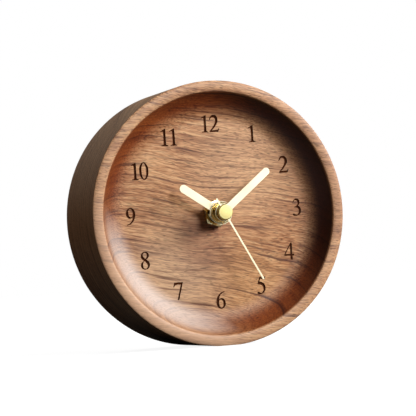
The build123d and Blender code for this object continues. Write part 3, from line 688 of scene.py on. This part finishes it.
def raised(name, outline, face, height):
    """A flat outline of across and up, drawn, filled and raised off a face that looks back."""
    points = [Vector((across, face, up)) for across, up in outline]
    piece = line_through(name, points + points[:1])
    bpy.ops.mesh.remove_doubles(threshold=MERGE)
    bpy.ops.mesh.edge_face_add()
    bpy.ops.mesh.extrude_region_move(TRANSFORM_OT_translate={"value": (0, height, 0)})
    bpy.ops.mesh.select_all(action="SELECT")
    bpy.ops.mesh.normals_make_consistent(inside=False)
    bpy.ops.object.mode_set(mode="OBJECT")
    bpy.ops.object.transform_apply(location=True, rotation=True, scale=True)
    return piece


def round_knob(radius, degrees):
    """A point about the axis of the knob, as across and up."""
    turn = math.radians(degrees)
    return (knob_axis.x + radius * math.cos(turn), knob_axis.z + radius * math.sin(turn))


first, last = arrow_ends
outer = arrow_radius + arrow_width / 2
inner = arrow_radius - arrow_width / 2
middle = (knob_axis.x, knob_axis.z)
arrow_outline = arc(middle, outer, outer, first, last, 20)
arrow_outline += [round_knob(arrow_radius + arrow_head, last), round_knob(arrow_radius, last + head_turn),
                  round_knob(arrow_radius - arrow_head, last)]
arrow_outline += arc(middle, inner, inner, last, first, 20)
arrow_outline += [round_knob(arrow_radius - arrow_head, first), round_knob(arrow_radius, first - head_turn),
                  round_knob(arrow_radius + arrow_head, first)]
arrow = raised("setting_arrow", arrow_outline, cover_back, arrow_height)
arrow.data.materials.append(black_abs)
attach(arrow, "case")
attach(cover, "case")
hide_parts("movement_cover")


# Setting knob
# A small fluted knob of black ABS behind the cover, pressed on the rear end of the motion arbor.
# Its face is dished, and its flutes are rounded off so that a thumb can roll it.
dish_radius = 3.8 * MM
dish_depth = 0.5 * MM
flute_edge = 0.2 * MM
knob = eased("fluted_knob", "setting_knob", flute_edge)
knob.data.materials.append(black_abs)
dish_profile = [(0, -dish_depth), (dish_radius - dish_depth, -dish_depth), (dish_radius, 0),
                (dish_radius, dish_depth), (0, dish_depth)]
dish = turned("dish", dish_profile, centre=knob_axis)
dish.data.materials.append(black_abs)
carve(knob, dish)
smooth(knob)
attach(knob, "setting")
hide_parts("setting_knob")


# Bush and nut
# The bush is turned from brass bar with a fine thread, and its flange lies inside the shell. The hexagon nut
# is cut from brass bar with its corners turned off, and clamps the wood against the movement.
bush_low, bush_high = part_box("threaded_bush")
nut_low, nut_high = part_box("hex_nut")
bush_radius = 4.0 * MM
bush_bore = 2.55 * MM
flange_radius = (bush_high.x - bush_low.x) / 2
flange_thickness = 0.7 * MM
thread_pitch = 0.75 * MM
thread_depth = 0.3 * MM
thread_land = 0.15 * thread_pitch
front_chamfer = 0.3 * MM
nut_flats = 10.6 * MM
nut_chamfer = 0.35 * MM
nut_bore = 4.05 * MM
nut_turn = math.radians(18)

flange_front = bush_high.y - flange_thickness
bush_profile = [(bush_bore, bush_low.y + front_chamfer / 2), (bush_bore + front_chamfer / 2, bush_low.y),
                (bush_radius - front_chamfer, bush_low.y)]
thread = bush_low.y + front_chamfer
while thread + thread_pitch < flange_front:
    bush_profile += [(bush_radius, thread), (bush_radius, thread + thread_land),
                     (bush_radius - thread_depth, thread + thread_pitch / 2),
                     (bush_radius, thread + thread_pitch - thread_land)]
    thread += thread_pitch
bush_profile += [(bush_radius, flange_front), (flange_radius, flange_front), (flange_radius, bush_high.y),
                 (bush_bore, bush_high.y), bush_profile[0]]
bush = turned("turned_bush", bush_profile, steps=64)

bpy.ops.object.select_all(action="DESELECT")
nut_middle = (nut_low.y + nut_high.y) / 2
nut_corner = nut_flats / math.sqrt(3)
bpy.ops.mesh.primitive_cylinder_add(vertices=6, radius=nut_corner, depth=nut_high.y - nut_low.y)
nut = bpy.context.object
nut.name = "chamfered_nut"
nut.rotation_euler = (math.radians(90), nut_turn + math.radians(90), 0)
nut.location = shaft + Vector((0, nut_middle, 0))
bpy.ops.object.transform_apply(location=True, rotation=True, scale=True)
nut_crown = nut_corner - 2 * nut_chamfer
nut_profile = [(nut_bore, nut_low.y + nut_chamfer), (nut_bore + nut_chamfer, nut_low.y),
               (nut_crown, nut_low.y), (nut_corner, nut_low.y + nut_chamfer),
               (nut_corner, nut_high.y - nut_chamfer), (nut_crown, nut_high.y),
               (nut_bore, nut_high.y), (nut_bore, nut_low.y + nut_chamfer)]

# Turned brass: pale yellow, bright, with fine rings from the tool about the shaft.
brass, tree, shader, at = surface("turned_brass")
rings_map = add(tree, "CombineXYZ", {"X": from_shaft(tree, at)[1]})
rings = add(tree, "TexNoise", {"Vector": rings_map.outputs[0], "Scale": 1 / 0.25, "Detail": 2.0})
stain_and_painted_light = add(tree, "TexNoise", {"Vector": at, "Scale": 1 / 2.5, "Detail": 2.0})
yellow = add(tree, "ValToRGB", {"Fac": stain_and_painted_light.outputs["Fac"]}, stops=[(0.3, "#d8c48c"), (0.7, "#ebdcae")])
cut = add(tree, "MapRange", {"Value": rings.outputs["Fac"], "To Min": 0.14, "To Max": 0.28})
relief = add(tree, "Bump", {"Height": rings.outputs["Fac"], "Strength": 0.25, "Distance": 0.02 * MM})
connect(shader, {"Base Color": yellow.outputs[0], "Roughness": cut.outputs[0], "Normal": relief.outputs[0],
                 "Metallic": 1.0})
dress(brass, "cannon_pinion", "hour_wheel")

carve(nut, turned("nut_blank", nut_profile, steps=96), "INTERSECT")
for piece, node in ((bush, "threaded_bush"), (nut, "hex_nut")):
    piece.data.materials.clear()
    piece.data.materials.append(brass)
    smooth(piece)
    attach(piece, "case")
    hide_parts(node)


# Hands
# Flat batons stamped from aluminium sheet and anodised a pale champagne, each with a round eye.
# A brass boss is pressed into the eyes of the hour and minute hands, and the second hand has a thin pin.
hand_edge = 0.07 * MM
blade_thickness = 0.5 * MM
collet_edge = 0.2 * MM
hour_eye = 5.1 * MM
minute_eye = 3.8 * MM
second_width = 0.74 * MM
second_tail = 7.0 * MM


def baton(name, node, angle, length, width, eye, boss, bore, thickness, tail=0):
    """A round eye and boss, turned, with a straight blade of round ends joined on and the hole bored."""
    low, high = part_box(node)
    blade_back = low.y + thickness
    profile = [(0, low.y), (eye - collet_edge, low.y), (eye, low.y), (eye, blade_back), (boss, blade_back),
               (boss, high.y), (0, high.y)]
    hand = turned(name, profile, steps=72)
    bpy.ops.object.select_all(action="DESELECT")
    bpy.ops.mesh.primitive_circle_add(vertices=40, radius=width / 2, fill_type="NGON")
    blade = bpy.context.object
    bpy.ops.object.mode_set(mode="EDIT")
    bpy.ops.mesh.select_all(action="SELECT")
    bpy.ops.mesh.extrude_region_move(TRANSFORM_OT_translate={"value": (0, 0, thickness)})
    bpy.ops.object.mode_set(mode="OBJECT")
    for point in blade.data.vertices:
        point.select = point.co.y > MERGE
    reach = length - width / 2
    bpy.ops.object.mode_set(mode="EDIT")
    bpy.ops.mesh.select_mode(type="VERT")
    bpy.ops.transform.translate(value=(0, reach, 0))
    bpy.ops.mesh.select_all(action="INVERT")
    bpy.ops.transform.translate(value=(0, -tail, 0))
    bpy.ops.mesh.select_all(action="SELECT")
    bpy.ops.mesh.normals_make_consistent(inside=False)
    bpy.ops.object.mode_set(mode="OBJECT")
    blade.rotation_euler = (math.radians(90), angle, 0)
    blade.location = shaft + Vector((0, blade_back, 0))
    bpy.ops.object.transform_apply(location=True, rotation=True, scale=True)
    carve(hand, blade, "UNION")
    hole = [(0, low.y - thickness), (bore, low.y - thickness), (bore, high.y + thickness),
            (0, high.y + thickness)]
    carve(hand, turned("hole", hole, steps=48))
    round_edges(hand, hand_edge, 40)
    smooth(hand)
    return hand


# Champagne anodised aluminium: almost white, warm, satin from fine etching.
champagne, tree, shader, at = surface("champagne_anodised_aluminium")
etch = add(tree, "TexNoise", {"Vector": at, "Scale": 1 / 0.3, "Detail": 2.0})
tint = add(tree, "TexNoise", {"Vector": at, "Scale": 1 / 9, "Detail": 1.0})
pale = add(tree, "ValToRGB", {"Fac": tint.outputs["Fac"]}, stops=[(0.3, "#eae2c6"), (0.7, "#f1ebd3")])
satin = add(tree, "MapRange", {"Value": etch.outputs["Fac"], "To Min": 0.64, "To Max": 0.8})
relief = add(tree, "Bump", {"Height": etch.outputs["Fac"], "Strength": 0.15, "Distance": 0.02 * MM})
connect(shader, {"Base Color": pale.outputs[0], "Roughness": satin.outputs[0], "Normal": relief.outputs[0],
                 "Metallic": 1.0})

minute_angle = math.radians(51)
hour_angle = math.radians(300) + minute_angle / 12
second_angle = math.radians(152)
hour_hand = baton("hour_baton", "hour_hand", hour_angle, length=21.6 * MM, width=3.5 * MM, eye=hour_eye,
                  boss=3.4 * MM, bore=2.52 * MM, thickness=blade_thickness)
minute_hand = baton("minute_baton", "minute_hand", minute_angle, length=28.2 * MM, width=3.2 * MM,
                    eye=minute_eye, boss=3.4 * MM, bore=1.72 * MM, thickness=blade_thickness)
second_hand = baton("second_baton", "second_hand", second_angle, length=33.8 * MM, width=second_width,
                    eye=2.0 * MM, boss=1.0 * MM, bore=0.52 * MM, thickness=0.3 * MM,
                    tail=second_tail - second_width / 2)

# Brass shows behind the blade of each hand, and within the eyes of the hour and minute hands.
for piece, body, eye in ((hour_hand, "hour", hour_eye), (minute_hand, "minute", minute_eye),
                         (second_hand, "second", 0)):
    piece.data.materials.clear()
    piece.data.materials.append(champagne)
    piece.data.materials.append(brass)
    blade_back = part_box(f"{body}_hand")[0].y + blade_thickness
    for face in piece.data.polygons:
        beside = face.center - shaft
        in_eye = math.hypot(beside.x, beside.z) < eye - collet_edge
        face.material_index = 1 if beside.y > blade_back or in_eye else 0
    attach(piece, body)
    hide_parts(f"{body}_hand")


# Cap
# A small round cap turned from brass and lacquered gold, pressed on the pin in front of the second hand.
# Its face shows the rings of the tool, and its front edge is broken by a small round.
cap_low, cap_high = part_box("second_hand_cap")
cap_radius = (cap_high.x - cap_low.x) / 2
cap_round = 0.45 * MM
pin_hole = 0.52 * MM
cap_wall = 0.5 * MM
cap_profile = [(0, cap_low.y)]
cap_profile += arc((cap_radius - cap_round, cap_low.y + cap_round), cap_round, cap_round, 270, 360, 5)
cap_profile += [(cap_radius, cap_high.y), (pin_hole, cap_high.y), (pin_hole, cap_low.y + cap_wall),
                (0, cap_low.y + cap_wall)]
cap = turned("turned_cap", cap_profile)
smooth(cap)

# Gold lacquered brass: a lemon gold with a soft satin gloss, in faint rings from the tool.
gold, tree, shader, at = surface("gold_lacquered_brass")
rings_map = add(tree, "CombineXYZ", {"X": from_shaft(tree, at)[1]})
rings = add(tree, "TexNoise", {"Vector": rings_map.outputs[0], "Scale": 1 / 0.3, "Detail": 2.0})
relief = add(tree, "Bump", {"Height": rings.outputs["Fac"], "Strength": 0.2, "Distance": 0.02 * MM})
shade(shader, rings, ("#cabb72", "#d9cf98"), (0.5, 0.62), {"Normal": relief.outputs[0], "Metallic": 1.0})
cap.data.materials.append(gold)
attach(cap, "second")
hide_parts("second_hand_cap")


# Battery cell
# One AA cell lies in the bay with its nub to the left: a nickel-plated can, closed by crimped ends, in a
# plain printed film that is shrunk over the edges of the can and shows its signs.
nub_radius = 2.75 * MM
nub_length = 1.5 * MM
nub_round = 0.4 * MM
film_round = 0.6 * MM
groove = 0.25 * MM
lip_radius = 6.0 * MM
half = (cell_high.x - cell_low.x) / 2
shoulder = nub_length - half
cell_profile = [(0, -half)]
cell_profile += arc((nub_radius - nub_round, nub_round - half), nub_round, nub_round, 270, 360, 4)
cell_profile += [(nub_radius, shoulder + groove), (lip_radius - groove, shoulder + groove),
                 (lip_radius, shoulder)]
cell_profile += arc((cell_radius - film_round, shoulder + film_round), film_round, film_round, 270, 360, 4)
cell_profile += arc((cell_radius - film_round, half - film_round), film_round, film_round, 0, 90, 4)
cell_profile += [(lip_radius, half), (lip_radius - groove, half - groove),
                 (lip_radius - 3 * groove, half - groove), (lip_radius - 4 * groove, half), (0, half)]
cell = turned("sleeved_cell", cell_profile, centre=cell_axis, along=Vector((1, 0, 0)), out=Vector((0, 0, 1)))

# Printed film: slate grey and glossy with light scuffs, pale at the nub end, with a dark plus on the pale
# band and a pale minus on the grey. Its places and half sizes are millimetres.
film, tree, shader, at = surface("printed_shrink_film")
place = add(tree, "SeparateXYZ", {"Vector": at})
band_end = (cell_axis.x + shoulder) / MM + 9
plus_at = band_end - 4.5
minus_at = cell_high.x / MM - 6
middle_height = cell_axis.z / MM
stroke = 2.2
pen = 0.45
pale = add(tree, "Math", {0: place.outputs["X"], 1: band_end}, operation="LESS_THAN").outputs[0]
strokes = ((plus_at, stroke, pen, "SUBTRACT"), (plus_at, pen, stroke, "SUBTRACT"),
           (minus_at, stroke, pen, "ADD"))
for middle, half_length, half_height, effect in strokes:
    wide = add(tree, "Math", {0: place.outputs["X"], 1: middle, 2: half_length}, operation="COMPARE")
    tall = add(tree, "Math", {0: place.outputs["Z"], 1: middle_height, 2: half_height}, operation="COMPARE")
    sign = add(tree, "Math", {0: wide.outputs[0], 1: tall.outputs[0]}, operation="MULTIPLY")
    pale = add(tree, "Math", {0: pale, 1: sign.outputs[0]}, operation=effect, use_clamp=True).outputs[0]
scuff = add(tree, "TexNoise", {"Vector": at, "Scale": 1 / 3, "Detail": 3.0})
slate = add(tree, "ValToRGB", {"Fac": scuff.outputs["Fac"]}, stops=[(0.3, "#33383d"), (0.7, "#3d4349")])
ink = add(tree, "Mix", {0: pale, 6: slate.outputs[0], 7: linear("#c9cdd0")}, data_type="RGBA")
gloss = add(tree, "MapRange", {"Value": scuff.outputs["Fac"], "To Min": 0.2, "To Max": 0.36})
connect(shader, {"Base Color": ink.outputs[2], "Roughness": gloss.outputs[0], "Coat Weight": 0.3})
cell.data.materials.append(film)
cell.data.materials.append(nickel)
for face in cell.data.polygons:
    beside = face.center - cell_axis
    if math.hypot(beside.y, beside.z) < lip_radius:
        face.material_index = 1
smooth(cell)
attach(cell, "cell")
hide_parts("battery_cell")


# Studio
# A table of white paper in a white room, lit by three softboxes: one at the right, a small one in front
# and a wide one at the right behind. All of it stays off the object's left side, which falls into shade.
bpy.ops.object.select_all(action="DESELECT")
bpy.ops.mesh.primitive_plane_add(size=8)
table = bpy.context.object
table.name = "table"

# White paper: matt, white to the camera where no shadow falls, and dim to the object, so that it throws
# little light back. Polished pieces mirror it as pale only where it lies in front of the clock.
paper, tree, shader, at = surface("white_paper")
seen = add(tree, "LightPath")
far = add(tree, "VectorMath", {0: at}, operation="LENGTH").outputs["Value"]
glow = add(tree, "MapRange", {"Value": far, "From Min": 80, "From Max": 450, "To Min": 0.9, "To Max": 1.0})
glow = add(tree, "Math", {0: glow.outputs[0], 1: seen.outputs["Is Camera Ray"]}, operation="MULTIPLY")
ahead = add(tree, "SeparateXYZ", {"Vector": at}).outputs["Y"]
mirrored = add(tree, "MapRange", {"Value": ahead, "From Min": -40, "From Max": -160, "To Max": 0.4})
glow = add(tree, "Math", {0: seen.outputs["Is Glossy Ray"], 1: mirrored.outputs[0], 2: glow.outputs[0]},
           operation="MULTIPLY_ADD")
fleck = add(tree, "TexNoise", {"Vector": at, "Scale": 1 / 2})
white = add(tree, "ValToRGB", {"Fac": fleck.outputs["Fac"]}, stops=[(0.0, "#303030"), (1.0, "#383838")])
white = add(tree, "Mix", {0: seen.outputs["Is Camera Ray"], 6: white.outputs[0], 7: linear("#7a7a7a")},
            data_type="RGBA")
connect(shader, {"Base Color": white.outputs[2], "Roughness": 0.9, "Specular IOR Level": 0.0,
                 "Emission Color": (1, 1, 1, 1), "Emission Strength": glow.outputs[0]})
table.data.materials.append(paper)

# The room is white to the camera. Polished pieces mirror a warm room that is palest at the right and above
# behind, and a dim sky over the back fills the shadows.
world = bpy.data.worlds.new("white_room")
bpy.context.scene.world = world
world.use_nodes = True
tree = world.node_tree
tree.nodes.clear()
seen = add(tree, "LightPath")
aim = add(tree, "TexCoord").outputs["Generated"]
side = add(tree, "VectorMath", {0: aim, 1: (0.9, -0.1, 0.42)}, operation="DOT_PRODUCT").outputs["Value"]
side = add(tree, "MapRange", {"Value": side, "To Max": 0.15}, interpolation_type="SMOOTHSTEP")
rear = add(tree, "VectorMath", {0: aim, 1: (-0.1, 0.45, 0.89)}, operation="DOT_PRODUCT").outputs["Value"]
rear = add(tree, "MapRange", {"Value": rear, "From Min": 0.5, "From Max": 0.85, "To Max": 0.6})
room = add(tree, "Math", {0: side.outputs[0], 1: rear.outputs[0]}, operation="MAXIMUM")
sky = add(tree, "VectorMath", {0: aim, 1: (-0.25, 0.35, 0.9)}, operation="DOT_PRODUCT").outputs["Value"]
sky = add(tree, "MapRange", {"Value": sky, "From Min": 0.5, "To Min": 0.004, "To Max": 0.6})
level = add(tree, "Mix", {0: seen.outputs["Is Glossy Ray"], 2: sky.outputs[0], 3: room.outputs[0]})
level = add(tree, "Mix", {0: seen.outputs["Is Camera Ray"], 2: level.outputs[0], 3: 1.0})
cast = add(tree, "Mix", {0: seen.outputs["Is Glossy Ray"], 6: (1, 1, 1, 1), 7: linear("#fbeed8")},
           data_type="RGBA")
back = add(tree, "Background", {"Color": cast.outputs[2], "Strength": level.outputs[0]})
add(tree, "OutputWorld", {"Surface": back.outputs[0]})

# Each softbox has its place from the shaft and its side in metres, and its power in watts.
softboxes = {
    "side": (Vector((0.75, -0.50, 0.40)), 0.42, 11.2),
    "front": (Vector((0.35, -0.95, 0.40)), 0.26, 6.2),
    "rear": (Vector((0.75, 0.62, 0.25)), 0.6, 10),
}
for name, (offset, size, power) in softboxes.items():
    bpy.ops.object.light_add(type="AREA", location=shaft + offset)
    softbox = bpy.context.object
    softbox.name = name
    softbox.data.size = size
    softbox.data.energy = power
    softbox.visible_camera = False
    softbox.rotation_euler = offset.to_track_quat("Z", "Y").to_euler()

# The camera stands low and to the left of the dial, a little tilted, and looks at the middle of the rim.
aim_point = Vector((-5.763, -21, 59.675)) * MM
look_azimuth = math.radians(19.741)
look_up = math.radians(1.844)
lean = math.radians(3.904)
distance = 862.4 * MM
look = Vector((math.sin(look_azimuth) * math.cos(look_up), math.cos(look_azimuth) * math.cos(look_up),
               math.sin(look_up)))
bpy.ops.object.camera_add(location=aim_point - look * distance)
camera = bpy.context.object
camera.rotation_mode = "QUATERNION"
camera.rotation_quaternion = look.to_track_quat("-Z", "Y") @ Quaternion((0, 0, 1), -lean)
camera.data.sensor_width = 36
camera.data.lens = 173.08
camera.data.clip_end = 20
bpy.context.scene.camera = camera
bpy.context.scene.view_settings.view_transform = "Standard"
